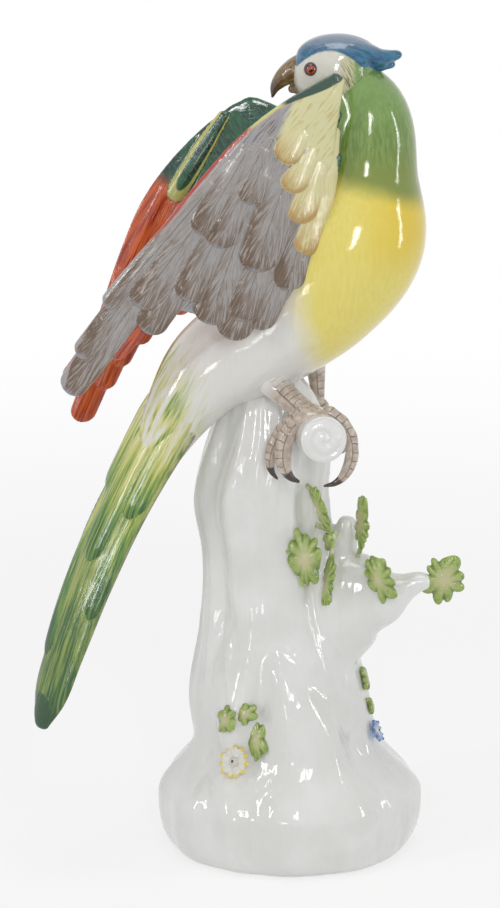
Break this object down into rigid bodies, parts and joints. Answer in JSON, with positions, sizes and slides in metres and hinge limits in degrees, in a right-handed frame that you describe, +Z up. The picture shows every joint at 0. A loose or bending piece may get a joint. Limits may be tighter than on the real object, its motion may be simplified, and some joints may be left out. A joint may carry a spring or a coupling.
{
  "type": "parrot figurine",
  "caption": "Glazed porcelain parrot with raised wings and a long tail, perched on a hollow tree-stump base with applied leaves and flowers.",
  "frame": {"origin": "middle of the bounding box at the ground, on the plane of the foot rim", "axes": "+Z up, the longest way; +X towards the bird's breast and the side branch; -Y towards the side where the cut end of the perch and the underside of the near wing show"},
  "size_m": [0.1648, 0.0968, 0.3162],
  "materials": {
    "porcelain": "clear gloss glaze over white porcelain, painted in green, yellow, red, grey, blue and brown"
  },
  "bodies": {
    "root": {"parrot_figurine": "porcelain"}
  },
  "joints": []
}
